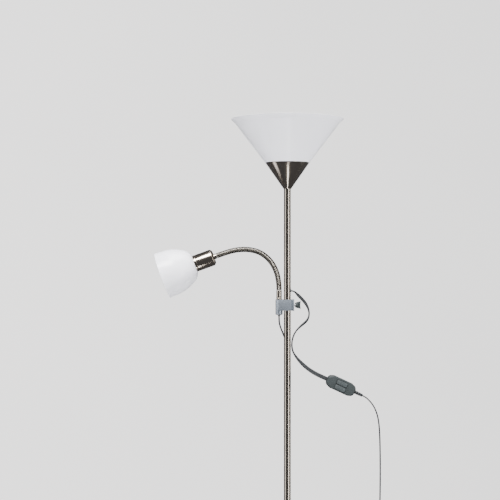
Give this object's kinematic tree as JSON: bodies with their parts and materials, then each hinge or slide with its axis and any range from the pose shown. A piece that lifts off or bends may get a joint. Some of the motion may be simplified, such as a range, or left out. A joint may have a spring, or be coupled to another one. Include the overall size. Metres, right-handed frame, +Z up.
{
  "type": "torchiere floor lamp with reading light",
  "caption": "Tall uplighter on a slim metal pole, with an open opal bowl, a clamped gooseneck reading light and a switch on its cable.",
  "frame": {"origin": "centre of the base's underside, on the floor, on the pole's axis", "axes": "+Z up along the pole, +X to the right with the reading light on the -X side, +Y away from the viewer"},
  "size_m": [0.5281, 0.4036, 1.7995],
  "materials": {
    "satin_nickel": "satin",
    "opal_plastic": "satin",
    "clamp_grey": "satin",
    "grey_plastic": "satin",
    "white_plastic": "matte",
    "dark_plastic": "matte",
    "cable_grey": "matte",
    "plated_steel": "satin",
    "plug_brass": "polished",
    "bulb_opal": "satin",
    "concrete": "matte",
    "foot_felt": "matte"
  },
  "bodies": {
    "stand": {"base_bolt": "plated_steel", "base_cover": "satin_nickel", "base_foot_pad": "foot_felt", "base_washer": "plated_steel", "base_weight": "concrete", "pole_lower": "satin_nickel", "pole_middle": "satin_nickel", "pole_upper": "satin_nickel", "pole_coupler_low": "plated_steel", "pole_coupler_high": "plated_steel", "pole_foot_plug": "plated_steel", "pole_top_plug": "plated_steel", "ribbon_grommet": "dark_plastic", "lead_grommet": "dark_plastic", "shade_cup": "satin_nickel", "bowl_shade": "opal_plastic", "holder_nipple": "plated_steel", "holder_nut": "plated_steel", "bulb_holder": "white_plastic", "bowl_ring": "white_plastic", "bulb_cap": "plug_brass", "bulb_glass": "bulb_opal", "inner_lead_upper": "cable_grey", "inner_lead_lower": "cable_grey", "ribbon_cable": "cable_grey", "switch_front": "grey_plastic", "switch_back": "grey_plastic", "switch_screws": "plated_steel", "mains_lead": "cable_grey", "plug_body": "grey_plastic", "plug_pins": "plug_brass", "switch_sleeve": "grey_plastic", "plug_sleeve": "grey_plastic"},
    "slider": {"clamp_liner": "dark_plastic", "reading_lead_lower": "cable_grey"},
    "clamp": {"clamp_body": "clamp_grey", "clamp_plate": "clamp_grey", "clamp_pad": "dark_plastic", "lead_gland": "dark_plastic", "reading_lead_upper": "cable_grey"},
    "screw": {"clamp_screw": "plated_steel"},
    "knob": {"clamp_knob": "grey_plastic"},
    "neck_foot": {"neck_ferrule": "satin_nickel", "neck_nut": "plated_steel", "neck_section_1": "satin_nickel"},
    "neck_2": {"neck_section_2": "satin_nickel"},
    "neck_3": {"neck_section_3": "satin_nickel"},
    "neck_4": {"neck_section_4": "satin_nickel"},
    "neck_5": {"neck_section_5": "satin_nickel"},
    "neck_6": {"neck_section_6": "satin_nickel"},
    "neck_7": {"neck_section_7": "satin_nickel"},
    "reading_head": {"head_ferrule": "satin_nickel", "reading_housing": "satin_nickel", "reading_holder": "white_plastic", "reading_shade": "opal_plastic", "reading_ring": "white_plastic", "reading_bulb_cap": "plug_brass", "reading_bulb_glass": "bulb_opal"},
    "rocker_upper": {"switch_rocker_upper": "grey_plastic"},
    "rocker_lower": {"switch_rocker_lower": "grey_plastic"}
  },
  "joints": [
    {"name": "clamp_slide", "type": "slide", "parent": "stand", "child": "slider", "axis": [0, 0, 1], "range_m": [-0.025, 0.006], "deforming": ["reading_lead_lower"]},
    {"name": "clamp_swivel", "type": "hinge", "parent": "slider", "child": "clamp", "pos_m": [0, 0, 1.37565], "axis": [0, 0, 1], "range_deg": [-45, 45], "deforming": ["reading_lead_upper"]},
    {"name": "screw_travel", "type": "slide", "parent": "clamp", "child": "screw", "axis": [1, 0, 0], "range_m": [0, 0.002]},
    {"name": "knob_turn", "type": "hinge", "parent": "screw", "child": "knob", "pos_m": [0.0178, 0, 1.37565], "axis": [1, 0, 0], "range_deg": [0, 720]},
    {"name": "neck_swing", "type": "hinge", "parent": "clamp", "child": "neck_foot", "pos_m": [-0.019, 0, 1.388], "axis": [0, 0, 1], "range_deg": [-60, 60]},
    {"name": "neck_bend_2", "type": "hinge", "parent": "neck_foot", "child": "neck_2", "pos_m": [-0.02178, 0, 1.43882], "axis": [0, -1, 0], "range_deg": [-12, 10]},
    {"name": "neck_bend_3", "type": "hinge", "parent": "neck_2", "child": "neck_3", "pos_m": [-0.03188, 0, 1.46586], "axis": [0, -1, 0], "range_deg": [-12, 10]},
    {"name": "neck_bend_4", "type": "hinge", "parent": "neck_3", "child": "neck_4", "pos_m": [-0.05079, 0, 1.48761], "axis": [0, -1, 0], "range_deg": [-12, 10]},
    {"name": "neck_bend_5", "type": "hinge", "parent": "neck_4", "child": "neck_5", "pos_m": [-0.07676, 0, 1.5], "axis": [0, -1, 0], "range_deg": [-12, 10]},
    {"name": "neck_bend_6", "type": "hinge", "parent": "neck_5", "child": "neck_6", "pos_m": [-0.10557, 0, 1.50227], "axis": [0, -1, 0], "range_deg": [-12, 10]},
    {"name": "neck_bend_7", "type": "hinge", "parent": "neck_6", "child": "neck_7", "pos_m": [-0.13402, 0, 1.49699], "axis": [0, -1, 0], "range_deg": [-12, 10]},
    {"name": "head_tilt", "type": "hinge", "parent": "neck_7", "child": "reading_head", "pos_m": [-0.16152, 0, 1.48779], "axis": [0, -1, 0], "range_deg": [-12, 12]},
    {"name": "rocker_upper_tip", "type": "hinge", "parent": "stand", "child": "rocker_upper", "pos_m": [0.12528, 0.0057, 1.19604], "axis": [0.421, 0, 0.907], "range_deg": [-10, 0]},
    {"name": "rocker_lower_tip", "type": "hinge", "parent": "stand", "child": "rocker_lower", "pos_m": [0.12022, 0.0057, 1.18516], "axis": [0.421, 0, 0.907], "range_deg": [-10, 0]}
  ],
  "couplings": [
    {"joint": "neck_bend_3", "follows": "neck_bend_2", "ratio": 1},
    {"joint": "neck_bend_4", "follows": "neck_bend_2", "ratio": 1},
    {"joint": "neck_bend_5", "follows": "neck_bend_2", "ratio": 1},
    {"joint": "neck_bend_6", "follows": "neck_bend_2", "ratio": 1},
    {"joint": "neck_bend_7", "follows": "neck_bend_2", "ratio": 1},
    {"joint": "screw_travel", "follows": "knob_turn", "m_per_rad": 0.000159}
  ]
}
